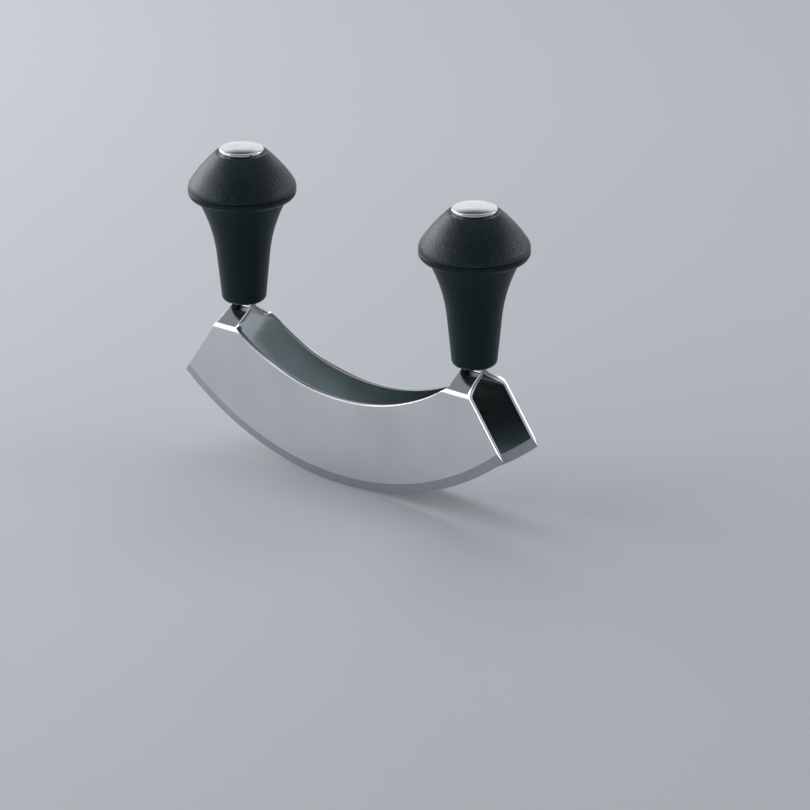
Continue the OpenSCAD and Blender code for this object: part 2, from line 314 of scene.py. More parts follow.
@dataclass(frozen=True)
class MouldedPlastic:
    """Glass-filled polypropylene, injection moulded, in a very dark green grey.

    The mould's surface decides the look: a stoned mould gives a satin skin, and a spark-eroded one
    an even grain of small dull pits that breaks highlights into sparkle. Real grain is 0.2 to 0.4 mm
    wide; the head's is drawn 0.7 mm wide, so that it still shows at the photograph's size. The grain is
    also painted: pits darker than the plastic as painted shade, ridges lighter as painted sparkle.
    """

    name: str
    colour: str
    pit_painted_shade: str
    roughness: float
    grain_mm: float
    grain_depth_mm: float
    grain_strength: float
    shine: float
    cloud_mm: float = 9.0

    def material(self) -> bpy.types.Material:
        """Builds the material."""
        material, tree, out = new_material(self.name)
        where = add_node(tree, "ShaderNodeTexCoord").outputs["Object"]
        grain = add_node(tree, "ShaderNodeTexNoise", {
            "Vector": where, "Scale": per_metre(self.grain_mm), "Detail": 2.5, "Roughness": 0.65,
        }).outputs[0]
        clouds = add_node(tree, "ShaderNodeTexNoise", {
            "Vector": where, "Scale": per_metre(self.cloud_mm), "Detail": 2.0,
        }).outputs[0]
        blend = add_node(tree, "ShaderNodeMath", {0: clouds, 1: 0.35, 2: grain}, operation="MULTIPLY_ADD")
        # Painted shade in the pits and painted sparkle on the ridges
        colour = ramp(tree, blend.outputs[0], [(0.5, linear(self.pit_painted_shade)), (0.85, linear(self.colour))])
        roughness = add_node(tree, "ShaderNodeMapRange", {
            0: blend.outputs[0], 1: 0.5, 2: 0.85, 3: self.roughness + 0.1, 4: self.roughness - 0.04,
        }).outputs[0]
        bump = add_node(tree, "ShaderNodeBump", {
            "Strength": self.grain_strength, "Distance": self.grain_depth_mm * MM, "Height": grain,
        })
        shader = add_node(tree, "ShaderNodeBsdfPrincipled", {
            "Base Color": colour, "Roughness": roughness, "IOR": 1.49,
            "Specular IOR Level": self.shine, "Normal": bump.outputs[0],
        })
        tree.links.new(shader.outputs[0], out.inputs[0])
        return material


@dataclass(frozen=True)
class TurnedMetal:
    """Small metal part that is round about its own handle's axis.

    Fine rings from turning or buffing run round the axis, so highlights spread a little outwards.
    """

    name: str
    colour: str
    worn: str
    smooth: float
    rough: float
    ring_mm: float
    ring_strength: float

    def material(self) -> bpy.types.Material:
        """Builds the material."""
        material, tree, out = new_material(self.name)
        where = add_node(tree, "ShaderNodeTexCoord").outputs["Object"]
        flat = per_metre(self.ring_mm * 12)
        layered = add_node(tree, "ShaderNodeMapping", {
            "Vector": where, "Scale": (flat, flat, per_metre(self.ring_mm)),
        })
        rings = add_node(tree, "ShaderNodeTexNoise", {
            "Vector": layered.outputs[0], "Scale": 1.0, "Detail": 2.0,
        }).outputs[0]
        colour = ramp(tree, rings, [(0.35, linear(self.colour)), (0.7, linear(self.worn))])
        roughness = add_node(tree, "ShaderNodeMapRange", {
            0: rings, 1: 0.3, 2: 0.7, 3: self.smooth, 4: self.rough,
        }).outputs[0]
        bump = add_node(tree, "ShaderNodeBump", {
            "Strength": self.ring_strength, "Distance": 0.00001, "Height": rings,
        })
        shader = add_node(tree, "ShaderNodeBsdfPrincipled", {
            "Base Color": colour, "Metallic": 1.0, "Roughness": roughness, "Normal": bump.outputs[0],
        })
        tree.links.new(shader.outputs[0], out.inputs[0])
        return material


OUTER_SHEET = SteelSheet("stainless_sheet_polished", "#dddfe1", "#d3d5d7", 0.09, 0.16)
# Inner faces: rougher mill finish, with a darker green colour that is painted shade and painted reflection
INNER_SHEET_PAINTED_SHADE = SteelSheet("stainless_sheet_mill_finish_painted_shade", "#b3bdbd", "#a8b1b0", 0.13, 0.22)
# Pit colours are painted shade and the lighter ridge colours painted sparkle, the head's most of all
STEM_PLASTIC = MouldedPlastic("polypropylene_satin", "#142a2d", "#0e2023", 0.36, 0.3, 0.006, 0.3, 0.17)
HEAD_PLASTIC = MouldedPlastic("polypropylene_grained_painted_sparkle", "#263b40", "#0b191b", 0.30, 0.7, 0.22, 1.0, 0.34)
CAP_STEEL = TurnedMetal("stainless_cap_mirror", "#e3e4e6", "#d6d8da", 0.07, 0.13, 0.5, 0.05)
FASTENER_ZINC = TurnedMetal("steel_zinc_plated", "#b9bec0", "#9a9fa0", 0.28, 0.42, 0.25, 0.4)
RIVET_STEEL = TurnedMetal("stainless_rivet", "#c3c6c8", "#aeb1b3", 0.22, 0.34, 0.25, 0.2)


# Meshes


@dataclass
class Patch:
    """Grid of points in millimetres, with a surface coordinate for each and one material."""

    points: np.ndarray
    material: int = 0
    surface: np.ndarray | None = None

    def quads(self, start: int) -> np.ndarray:
        """Numbers each cell's corners: row by row, then the next row back, from the given start."""
        rows, cols = self.points.shape[:2]
        index = start + np.arange(rows * cols).reshape(rows, cols)
        corners = [index[:-1, :-1], index[:-1, 1:], index[1:, 1:], index[1:, :-1]]
        return np.stack([c.ravel() for c in corners], 1)


def make_piece(
    name: str, patches: Iterable[Patch], materials: Sequence[bpy.types.Material], sharp_deg: float
) -> bpy.types.Object:
    """Joins patches into one closed, outward-facing piece.

    Args:
        name: the piece's name.
        patches: grids that meet along their borders.
        materials: the piece's materials, by the patches' numbers.
        sharp_deg: turns between faces above this stay sharp.

    Returns:
        The new object at the origin.
    """
    patches = list(patches)
    points, faces, slots, surface = [], [], [], []
    start = 0
    for patch in patches:
        cells = patch.quads(start)
        flat = np.zeros(patch.points.shape[:2] + (2,)) if patch.surface is None else patch.surface
        points.append(patch.points.reshape(-1, 3))
        surface.append(flat.reshape(-1, 2))
        faces.append(cells)
        slots.append(np.full(len(cells), patch.material))
        start += patch.points.shape[0] * patch.points.shape[1]
    corners = np.concatenate(faces)
    mesh = bpy.data.meshes.new(name)
    mesh.from_pydata((np.concatenate(points) * MM).tolist(), [], corners.tolist())
    for material in materials:
        mesh.materials.append(material)
    mesh.polygons.foreach_set("material_index", np.concatenate(slots).astype(np.int32))
    layer = mesh.uv_layers.new(name="surface")
    layer.data.foreach_set("uv", np.concatenate(surface)[corners.ravel()].astype(np.float32).ravel())
    close_mesh(mesh)
    mesh.polygons.foreach_set("use_smooth", np.ones(len(mesh.polygons), bool))
    mesh.set_sharp_from_angle(angle=math.radians(sharp_deg))
    piece = bpy.data.objects.new(name, mesh)
    bpy.context.scene.collection.objects.link(piece)
    return piece


def close_mesh(mesh: bpy.types.Mesh) -> None:
    """Merges the patches' borders, closes what is left open, and turns all faces outwards.

    Args:
        mesh: the mesh to mend in place.
    """
    work = bmesh.new()
    work.from_mesh(mesh)
    bmesh.ops.remove_doubles(work, verts=work.verts, dist=2e-7)
    bmesh.ops.dissolve_degenerate(work, edges=work.edges, dist=1e-8)
    open_edges = [e for e in work.edges if e.is_boundary]
    if open_edges:
        bmesh.ops.holes_fill(work, edges=open_edges, sides=24)
    bmesh.ops.recalc_face_normals(work, faces=work.faces)
    still_open = sum(not e.is_manifold for e in work.edges)
    if still_open:
        LOG.warning("%s has %d open edges", mesh.name, still_open)
    work.to_mesh(mesh)
    work.free()


def arc(centre: Sequence[float], radius: float, start: float, end: float, count: int) -> np.ndarray:
    """Points on a circle: centre plus radius times the cosine and sine of evenly spaced angles.

    Args:
        centre: the circle's centre.
        radius: its radius.
        start: first angle in degrees.
        end: last angle in degrees.
        count: number of points.

    Returns:
        One row per point.
    """
    angle = np.radians(np.linspace(start, end, count))
    return np.array(centre) + radius * np.stack([np.cos(angle), np.sin(angle)], 1)


def dress(piece: bpy.types.Object, slot: str, *nodes: str) -> bpy.types.Object:
    """Lets a new piece ride on the body and stand for its CAD nodes.

    Args:
        piece: the new piece.
        slot: not used.
        nodes: the CAD nodes that it replaces.

    Returns:
        The same piece.
    """
    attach(piece, BODY)
    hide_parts(*nodes)
    LOG.info("%s: %d faces, stands for %s", piece.name, len(piece.data.polygons), ", ".join(nodes))
    return piece


@dataclass
class Crescents:
    """Both blades, each one sheet: web, fold, strap and tang, ground to a curved cutting edge."""

    half_length: float = field(default_factory=lambda: node_box("back_blade")[1][0])
    outer: float = field(default_factory=lambda: node_box("back_blade")[1][1])
    tang_top: float = field(default_factory=lambda: node_box("back_blade")[1][2])
    handle_bottom: float = field(default_factory=lambda: node_box("right_stem")[0][2])
    axis_x: float = field(default_factory=lambda: float(np.mean([c[0] for c in node_box("right_stem")])))
    sheet: float = 2.0
    cut_radius: float = 117.5
    hollow_radius: float = 84.0
    height: float = 33.1
    bevel: float = 3.7
    land: float = 0.15
    strap_width: float = 8.6
    strap_slope: float = 33.0
    fold_height: float = 49.9
    fold_radius: float = 3.4
    root_radius: float = 1.0
    horn_height: float = 50.2
    horn_fillet: float = 8.0
    strap_fillet: float = 1.6
    tang_width: float = 6.6
    edge_round: float = 0.2
    split_height: float = 46.9

    def __post_init__(self) -> None:
        """Works out the folds, the corners and the heights where rows of points lie."""
        turn = math.radians(90 - self.strap_slope)
        self.turn = turn
        normal = np.array([math.cos(turn), math.sin(turn)])
        fold_end = np.array([self.outer - self.fold_radius * (1 - normal[0]), self.fold_height])
        self.fold = fold_end - self.fold_radius * normal
        root_y = self.sheet + self.root_radius * (1 - normal[0])
        run = (fold_end[0] - root_y) / normal[1]
        root_start = fold_end + run * np.array([-normal[1], normal[0]])
        self.root = root_start + self.root_radius * normal
        self.fold_ends = {True: fold_end, False: fold_end - self.sheet * normal}
        self.root_starts = {True: root_start, False: root_start - self.sheet * normal}
        self.strap_in = self.axis_x - self.strap_width / 2
        self.strap_out = self.axis_x + self.strap_width / 2
        tip_drop = math.sqrt(self.cut_radius ** 2 - self.half_length ** 2)
        self.tip = np.array([self.half_length, self.cut_radius - tip_drop])
        self.horn = np.array([self.strap_out, self.horn_height])
        self.hollow_centre = self.height + self.hollow_radius

    def face(self, z: np.ndarray, outside: bool) -> np.ndarray:
        """Depth of a face: upright web, circular fold, straight strap, circular root, upright tang.

        Args:
            z: heights.
            outside: whether the outer face is meant.

        Returns:
            Distance from the middle plane for each height.
        """
        fold_r = self.fold_radius if outside else self.fold_radius - self.sheet
        root_r = self.root_radius if outside else self.root_radius + self.sheet
        web = self.outer if outside else self.outer - self.sheet
        tang = self.sheet if outside else 0.0
        end, start = self.fold_ends[outside], self.root_starts[outside]
        on_fold = self.fold[0] + np.sqrt(np.maximum(fold_r ** 2 - (z - self.fold[1]) ** 2, 0))
        on_strap = end[0] + (z - end[1]) * (start[0] - end[0]) / (start[1] - end[1])
        on_root = self.root[0] - np.sqrt(np.maximum(root_r ** 2 - (self.root[1] - z) ** 2, 0))
        zones = [z <= self.fold[1], z <= end[1], z <= start[1], z <= self.root[1]]
        return np.select(zones, [np.full_like(z, web), on_fold, on_strap, on_root], tang)

    def depth(self, place: np.ndarray, outside: bool) -> np.ndarray:
        """Depth of a face at places in X and Z, with the bevel's straight thinning near the edge.

        Args:
            place: points as X and Z.
            outside: whether the outer face is meant.

        Returns:
            Distance from the middle plane for each point.
        """
        inside = self.cut_radius - np.hypot(place[..., 0], place[..., 1] - self.cut_radius)
        share = np.clip(inside / self.bevel, 0, 1)
        half = self.land / 2 + (self.sheet - self.land) / 2 * share
        middle = self.outer - self.sheet / 2
        ground = middle + (half if outside else -half)
        return np.where(share < 1, ground, self.face(place[..., 1], outside))

    def out_edge(self, z: np.ndarray) -> np.ndarray:
        """X of the outer border: sloping end, hollow corner arc, upright strap."""
        down = (self.tip - self.horn) / np.linalg.norm(self.tip - self.horn)
        half = math.acos(float(np.clip(-down[1], -1, 1))) / 2
        middle = (down + [0, 1]) / np.linalg.norm(down + [0, 1])
        centre = self.horn + self.horn_fillet / math.cos(half) * middle
        reach = self.horn_fillet * math.tan(half)
        low = self.horn[1] + reach * down[1]
        on_end = self.horn[0] + (z - self.horn[1]) * down[0] / down[1]
        on_arc = centre[0] - np.sqrt(np.maximum(self.horn_fillet ** 2 - (z - centre[1]) ** 2, 0))
        return np.where(z < low, on_end, np.where(z < self.horn[1] + reach, on_arc, self.strap_out))

    def in_edge(self, z: np.ndarray) -> np.ndarray:
        """X of the inner border: hollow circle, small corner arc, upright strap."""
        slope = math.asin(self.strap_in / self.hollow_radius)
        corner_drop = math.sqrt(self.hollow_radius ** 2 - self.strap_in ** 2)
        corner = np.array([self.strap_in, self.hollow_centre - corner_drop])
        down = np.array([-math.cos(slope), -math.sin(slope)])
        half = (math.pi - math.acos(float(down[1]))) / 2
        middle = (down + [0, 1]) / np.linalg.norm(down + [0, 1])
        centre = corner + self.strap_fillet / math.cos(half) * middle
        reach = self.strap_fillet * math.tan(half)
        on_circle = np.sqrt(np.maximum(self.hollow_radius ** 2 - (self.hollow_centre - z) ** 2, 0))
        on_arc = centre[0] + np.sqrt(np.maximum(self.strap_fillet ** 2 - (z - centre[1]) ** 2, 0))
        low, high = corner[1] + reach * down[1], corner[1] + reach
        return np.where(z < low, on_circle, np.where(z < high, on_arc, self.strap_in))

    def outline(self) -> tuple[np.ndarray, np.ndarray, int]:
        """Right half of the blade as two grids in X and Z: the web, and the strap above it.

        Columns of the web run from the cutting circle to the hollow circle or to the strap's foot.
        The first rows divide the bevel evenly, where the column crosses the circle of the grind line.

        Returns:
            Web grid, strap grid and the number of bevel rows.
        """
        bevel_rows, web_rows, strap_cols = 5, 34, 12
        foot_in = float(self.in_edge(np.array(self.split_height)))
        foot_out = float(self.out_edge(np.array(self.split_height)))
        hollow_x = np.linspace(0, foot_in, 72)
        foot_x = np.linspace(foot_in, foot_out, strap_cols + 1)
        top_x = np.concatenate([hollow_x, foot_x[1:]])
        top_z = np.where(
            top_x <= foot_in,
            self.hollow_centre - np.sqrt(self.hollow_radius ** 2 - np.minimum(top_x, foot_in) ** 2),
            self.split_height,
        )
        low_x = top_x * self.half_length / foot_out
        low_z = self.cut_radius - np.sqrt(self.cut_radius ** 2 - low_x ** 2)
        top, low = np.stack([top_x, top_z], 1), np.stack([low_x, low_z], 1)
        run = top - low
        arm = low - [0, self.cut_radius]
        a, b = (run ** 2).sum(1), (arm * run).sum(1)
        shares = []
        for step in np.linspace(0, 1, bevel_rows):
            reach = self.cut_radius - self.bevel * step
            c = (arm ** 2).sum(1) - reach ** 2
            shares.append((-b - np.sqrt(np.maximum(b ** 2 - a * c, 0))) / a)
        grind = shares[-1]
        shares += [grind + (1 - grind) * s for s in np.linspace(0, 1, web_rows)[1:]]
        web = low[None] + np.array(shares)[..., None] * run[None]
        heights = self.strap_heights()
        side = np.linspace(0, 1, strap_cols + 1)[None]
        inner, outer = self.in_edge(heights), self.out_edge(heights)
        in_tang = heights > self.handle_bottom - 0.01
        inner = np.where(in_tang, self.axis_x - self.tang_width / 2, inner)
        outer = np.where(in_tang, self.axis_x + self.tang_width / 2, outer)
        x = inner[:, None] + side * (outer - inner)[:, None]
        strap = np.stack([x, np.broadcast_to(heights[:, None], x.shape)], 2)
        return web, strap, bevel_rows

    def strap_heights(self) -> np.ndarray:
        """Heights of the strap's rows: even steps of turn in both faces' bends, few on the straights."""
        angle = np.linspace(0, self.turn, 13)
        bends = [self.fold[1] + r * np.sin(angle) for r in (self.fold_radius, self.fold_radius - self.sheet)]
        bends += [self.root[1] - r * np.sin(angle) for r in (self.root_radius, self.root_radius + self.sheet)]
        corners = self.out_edge_heights()
        rest = [self.split_height, self.handle_bottom - 0.03, self.handle_bottom, self.tang_top]
        heights = np.unique(np.round(np.concatenate([*bends, corners, rest]), 3))
        keep = np.concatenate([[True], np.diff(heights) > 0.015])
        return heights[keep]

    def out_edge_heights(self) -> np.ndarray:
        """Heights that give the corner arcs at the strap's foot enough points."""
        outer_arc = np.arange(self.horn_height - 3.0, self.horn_height + 2.4, 0.3)
        inner_arc = np.arange(self.fold_height - 0.9, self.fold_height + 0.6, 0.12)
        return np.concatenate([outer_arc, inner_arc])

    def border(self, web: np.ndarray, strap: np.ndarray) -> tuple[np.ndarray, list[tuple[np.ndarray, tuple]]]:
        """Border of the right half, from the tip up round the strap and along the hollow edge.

        Args:
            web: the web grid.
            strap: the strap grid.

        Returns:
            The border's points, and for each the grid and index that it came from.
        """
        last = web.shape[1] - 1
        first_strap = last - (strap.shape[1] - 1)
        rows, cols = strap.shape[:2]
        owners = [(web, (i, last)) for i in range(web.shape[0])]
        owners += [(strap, (i, cols - 1)) for i in range(1, rows)]
        owners += [(strap, (rows - 1, j)) for j in range(cols - 2, -1, -1)]
        owners += [(strap, (i, 0)) for i in range(rows - 2, -1, -1)]
        owners += [(web, (web.shape[0] - 1, j)) for j in range(first_strap - 1, -1, -1)]
        return np.array([grid[index] for grid, index in owners]), owners

    def half_patches(self) -> list[Patch]:
        """Right half of the back blade: both faces, the rounded cut edge and the cutting land."""
        web, strap, bevel_rows = self.outline()
        first_strap = web.shape[1] - strap.shape[1]
        line, owners = self.border(web, strap)
        tangent = np.gradient(line, axis=0)
        tangent[-1] = (-1, 0)
        inward = np.stack([-tangent[:, 1], tangent[:, 0]], 1)
        inward /= np.linalg.norm(inward, axis=1)[:, None]
        thick = self.depth(line, True) - self.depth(line, False)
        radius = np.minimum(self.edge_round, 0.35 * thick)
        inset = line + radius[:, None] * inward
        for (grid, index), place in zip(owners, inset):
            grid[index] = place
        strap[0] = web[-1, first_strap:]
        patches = []
        for outside in (True, False):
            faces = [(web[:bevel_rows], 1), (web[bevel_rows - 1:], 0), (strap, 0)]
            for grid, number in faces:
                along = np.arctan2(grid[..., 0], self.cut_radius - grid[..., 1]) * self.cut_radius
                across = self.cut_radius - np.hypot(grid[..., 0], self.cut_radius - grid[..., 1])
                y = self.depth(grid, outside)
                points = np.stack([grid[..., 0], y, grid[..., 1]], 2)
                # Inner faces take the mill sheet, whose darker green colour is painted shade and painted
                # reflection
                number = 3 if number == 0 and not outside else number
                patches.append(Patch(points, number, np.stack([along, across], 2)))
        patches.append(self.rim(line, inset, inward, radius))
        edge = [np.stack([web[0, :, 0], self.depth(web[0], side), web[0, :, 1]], 1) for side in (True, False)]
        patches.append(Patch(np.stack(edge), 1))
        return patches

    def rim(self, line: np.ndarray, inset: np.ndarray, inward: np.ndarray, radius: np.ndarray) -> Patch:
        """Cut edge: a quarter round at each face with a straight wall between them.

        Args:
            line: the border's points in X and Z.
            inset: the same points moved in to where the faces end.
            inward: unit vectors into the sheet.
            radius: rounding at each point.

        Returns:
            One patch, with its surface running along the border and across the sheet.
        """
        outside, inside = self.depth(inset, True), self.depth(inset, False)
        angle = np.radians(np.linspace(0, 90, 4))
        steps = [(1 - math.sin(a), 1 - math.cos(a)) for a in angle]
        rows, across = [], []
        for top, sign, profile in ((outside, -1, steps), (inside, 1, steps[::-1])):
            for pull, drop in profile:
                place = line + (pull * radius)[:, None] * inward
                y = top + sign * drop * radius
                rows.append(np.stack([place[:, 0], y, place[:, 1]], 1))
                across.append((outside - y) / np.maximum(outside - inside, 1e-6))
        length = np.concatenate([[0], np.cumsum(np.linalg.norm(np.diff(line, axis=0), axis=1))])
        along = np.broadcast_to(length, (len(rows), len(length)))
        return Patch(np.stack(rows), 2, np.stack([along, np.stack(across)], 2))

    def build(self, materials: Sequence[bpy.types.Material]) -> list[bpy.types.Object]:
        """Makes both blades from the half's patches and their mirror images."""
        half = self.half_patches()
        pieces = []
        for blade in Blade:
            patches = []
            for flip in (1, -1):
                scale = np.array([flip, blade.sign, 1])
                patches += [Patch(p.points * scale, p.material, p.surface) for p in half]
            piece = make_piece(f"{blade.value}_sheet", patches, materials, SHEET_SHARP)
            pieces.append(dress(piece, "blade_steel", blade.value))
        return pieces


@dataclass
class Handle:
    """One mushroom handle: satin stem, grained head and steel cap, all round about one upright axis."""

    side: Side
    shank_radius: float = 8.05
    shank_draft: float = 5.6
    shank_edge: float = 2.4
    neck_start: float = 74.2
    neck_curve: float = 57.5
    crease_height: float = 96.0
    collar_curve: float = 2.9
    collar_height: float = 99.1
    seam_chamfer: float = 0.3
    shoulder_curve: float = 4.4
    shoulder_height: float = 100.2
    head_radius: float = 19.9
    dome_curve: float = 53.0
    land_radius: float = 9.6
    boss_radius: float = 5.5
    bore_radius: float = 2.6
    spigot_radius: float = 16.6
    spigot_wall: float = 1.35
    spigot_depth: float = 1.8
    recess_radius: float = 7.0
    recess_floor: float = 105.6
    fit: float = 0.05
    slack: float = 0.1
    slot_top: float = 76.4
    # Hollows inside stem and head as radius and height
    bowl: tuple[tuple[float, float], ...] = ((15.2, 97.6), (10.2, 91.0), (5.5, 91.0))
    dome_hollow: tuple[tuple[float, float], ...] = ((5.5, 102.5), (9.8, 103.5), (9.8, 108.2), (15.2, 103.0))
    cap_edge: float = 1.45
    cap_round: float = 0.5
    cap_wall: float = 0.8
    cap_lip: float = 0.15
    segments: int = 192

    def __post_init__(self) -> None:
        """Reads the handle's place and its chief heights from the frame."""
        low, high = node_box(f"{self.side.value}_stem")
        rod_low, rod_high = node_box(f"{self.side.value}_tie_rod")
        self.axis = (low + high)[:2] / 2
        self.bottom, self.seam = low[2], high[2]
        self.head_top = node_box(f"{self.side.value}_head")[1][2]
        cap_low, cap_high = node_box(f"{self.side.value}_cap")
        self.cap_low, self.cap_top = cap_low[2], cap_high[2]
        self.cap_radius = (cap_high[0] - cap_low[0]) / 2
        self.slot = (rod_high - rod_low)[:2] / 2 + self.slack
        self.head_radius = float(np.min((high - low)[:2])) / 2

    def shank_at(self, z: float) -> float:
        """Radius of the drafted shank at a height."""
        return self.shank_radius + (z - self.bottom) * math.tan(math.radians(self.shank_draft))

    def turned(self, profile: np.ndarray, material: int = 0) -> Patch:
        """Carries a profile of radius and height round the handle's axis.

        Args:
            profile: points as radius and height.
            material: the patch's material number.

        Returns:
            The closed ring of points.
        """
        angle = np.linspace(0, 2 * math.pi, self.segments + 1)
        radius, z = profile[:, :1], profile[:, 1:]
        x = self.axis[0] + radius * np.cos(angle)
        y = self.axis[1] + radius * np.sin(angle)
        return Patch(np.stack([x, y, np.broadcast_to(z, x.shape)], 2), material)

    def stem_profile(self) -> np.ndarray:
        """Stem from its lower face outwards, up to the seam, and back through the hollow to the bore."""
        foot_top = self.bottom + self.shank_edge
        foot_centre = [self.shank_at(foot_top) - self.shank_edge, foot_top]
        foot = arc(foot_centre, self.shank_edge, -90, -self.shank_draft, 14)
        shank = np.array([[self.shank_at(z), z] for z in np.linspace(foot_top + 0.3, self.neck_start, 12)])
        lean = math.radians(self.shank_draft)
        centre = shank[-1] + self.neck_curve * np.array([math.cos(lean), -math.sin(lean)])
        neck_z = np.linspace(self.neck_start, self.crease_height, 40)[1:]
        neck = np.stack([centre[0] - np.sqrt(self.neck_curve ** 2 - (neck_z - centre[1]) ** 2), neck_z], 1)
        collar_centre = np.array([self.head_radius - self.collar_curve, self.collar_height])
        arm = neck[-1] - collar_centre
        start = math.degrees(math.atan2(arm[1], arm[0]) + math.acos(self.collar_curve / np.linalg.norm(arm)))
        rise = self.seam - self.seam_chamfer - self.collar_height
        end = math.degrees(math.asin(rise / self.collar_curve))
        collar = arc(collar_centre, self.collar_curve, start, end, 20)
        recess = self.seam - self.spigot_depth - self.slack
        inside = [
            [collar[-1][0] - self.seam_chamfer, self.seam],
            [self.spigot_radius, self.seam],
            [self.spigot_radius, recess],
            *self.bowl,
            [self.boss_radius, self.seam],
            [self.bore_radius, self.seam],
            [self.bore_radius, self.slot_top],
        ]
        return np.concatenate([foot, shank, neck, collar, inside])

    def slot_ring(self, z: float) -> np.ndarray:
        """Rectangle of the slot as a ring: the nearer of both walls in each direction from the axis."""
        angle = np.linspace(0, 2 * math.pi, self.segments + 1)
        wall_x = self.slot[0] / np.maximum(np.abs(np.cos(angle)), 1e-9)
        wall_y = self.slot[1] / np.maximum(np.abs(np.sin(angle)), 1e-9)
        radius = np.minimum(wall_x, wall_y)
        x = self.axis[0] + radius * np.cos(angle)
        y = self.axis[1] + radius * np.sin(angle)
        return np.stack([x, y, np.full_like(x, z)], 1)

    def stem(self, material: bpy.types.Material) -> bpy.types.Object:
        """Makes the stem with its slot for the tangs."""
        ring = self.turned(self.stem_profile()).points
        low, high = self.slot_ring(self.bottom), self.slot_ring(self.slot_top)
        loop = np.concatenate([ring, high[None], low[None], ring[:1]])
        piece = make_piece(f"{self.side.value}_stem_moulding", [Patch(loop)], [material], MOULDED_SHARP)
        return dress(piece, "stem_plastic", f"{self.side.value}_stem")

    def head_profile(self) -> np.ndarray:
        """Head as a closed loop: chamfer, shoulder arc, long dome arc, land, recess, bore and hollow."""
        shoulder = np.array([self.head_radius - self.shoulder_curve, self.shoulder_height])
        rim = np.array([self.land_radius, self.head_top])
        line = shoulder - rim
        gap = float(np.linalg.norm(line))
        along = (self.dome_curve ** 2 - (self.dome_curve - self.shoulder_curve) ** 2 + gap ** 2) / (2 * gap)
        aside = math.sqrt(self.dome_curve ** 2 - along ** 2)
        unit = line / gap
        dome = rim + along * unit + aside * np.array([unit[1], -unit[0]])
        touch = math.degrees(math.atan2(*(shoulder - dome)[::-1]))
        finish = math.degrees(math.atan2(*(rim - dome)[::-1]))
        drop = self.seam + self.seam_chamfer - self.shoulder_height
        begin = math.degrees(math.asin(drop / self.shoulder_curve))
        first = arc(shoulder, self.shoulder_curve, begin, touch, 22)
        second = arc(dome, self.dome_curve, touch, finish, 34)[1:]
        spigot = self.spigot_radius - self.fit
        low = self.seam - self.spigot_depth
        inside = [
            [self.recess_radius, self.head_top],
            [self.recess_radius, self.recess_floor],
            [self.bore_radius, self.recess_floor],
            [self.bore_radius, self.seam],
            [self.boss_radius, self.seam],
            *self.dome_hollow,
            [spigot - self.spigot_wall, low],
            [spigot, low],
            [spigot, self.seam],
            [first[0][0] - self.seam_chamfer, self.seam],
            first[0],
        ]
        return np.concatenate([first, second, inside])

    def head(self, material: bpy.types.Material) -> bpy.types.Object:
        """Makes the grained head."""
        shape = [self.turned(self.head_profile())]
        piece = make_piece(f"{self.side.value}_head_moulding", shape, [material], MOULDED_SHARP)
        return dress(piece, "head_plastic", f"{self.side.value}_head")

    def cap_profile(self) -> np.ndarray:
        """Cap from its crown out to the rolled edge, under it, and round the skirt to the ceiling."""
        edge_top = self.head_top + self.cap_edge
        top_radius = self.cap_radius - self.cap_round
        crown = self.cap_top - edge_top
        curve = (top_radius ** 2 + crown ** 2) / (2 * crown)
        centre_z = self.cap_top - curve
        angle = np.linspace(0, math.asin(top_radius / curve), 20)
        top = np.stack([curve * np.sin(angle), centre_z + curve * np.cos(angle)], 1)
        start = 90 - math.degrees(angle[-1])
        roll = arc([top_radius, edge_top - self.cap_round], self.cap_round, start, 0, 12)
        top = top[top[:, 0] < roll[0, 0] - 0.05]
        lip = self.cap_lip
        foot = arc([self.cap_radius - lip, self.head_top + lip], lip, 0, -90, 5)
        skirt = self.recess_radius - self.fit
        inner = skirt - self.cap_wall
        ceiling = self.head_top + self.cap_edge - self.cap_wall
        inside = [
            [skirt, self.head_top],
            [skirt, self.cap_low],
            [inner, self.cap_low],
            [inner, ceiling],
            [0, ceiling],
        ]
        return np.concatenate([top, roll, foot, inside])

    def cap(self, material: bpy.types.Material) -> bpy.types.Object:
        """Makes the pressed steel cap."""
        shape = [self.turned(self.cap_profile())]
        piece = make_piece(f"{self.side.value}_cap_pressing", shape, [material], PRESSED_SHARP)
        return dress(piece, "cap_steel", f"{self.side.value}_cap")

    def fasteners(self, zinc: bpy.types.Material, rivet: bpy.types.Material) -> None:
        """Gives the handle's inner CAD pieces their finishes."""
        for name in ("tie_rod", "washer", "spring_washer", "nut", "rivets"):
            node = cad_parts[f"{self.side.value}_{name}"]
            finish = rivet if name == "rivets" else zinc
            for slot in node.material_slots:
                slot.material = finish
            LOG.info("%s: finish %s", node.name, finish.name)


@dataclass(frozen=True)
class Panel:
    """Soft lamp that faces the object: its place and its width and height in metres, and its watts."""

    name: str
    place: tuple[float, float, float]
    size: tuple[float, float]
    power: float


# The left window gives the heads their sparkle, the front one the bright line along the sheet's folds
PANELS = (
    Panel("window_left", (-1.1, -0.05, 0.46), (1.0, 0.8), 8.0),
    Panel("window_front", (-0.72, -0.8, 0.46), (0.8, 0.8), 2.9),
    Panel("panel_right", (0.75, 1.0, 0.4), (0.6, 0.5), 2.0),
    Panel("panel_back", (-0.48, 0.58, 1.3), (1.0, 1.0), 3.0),
)


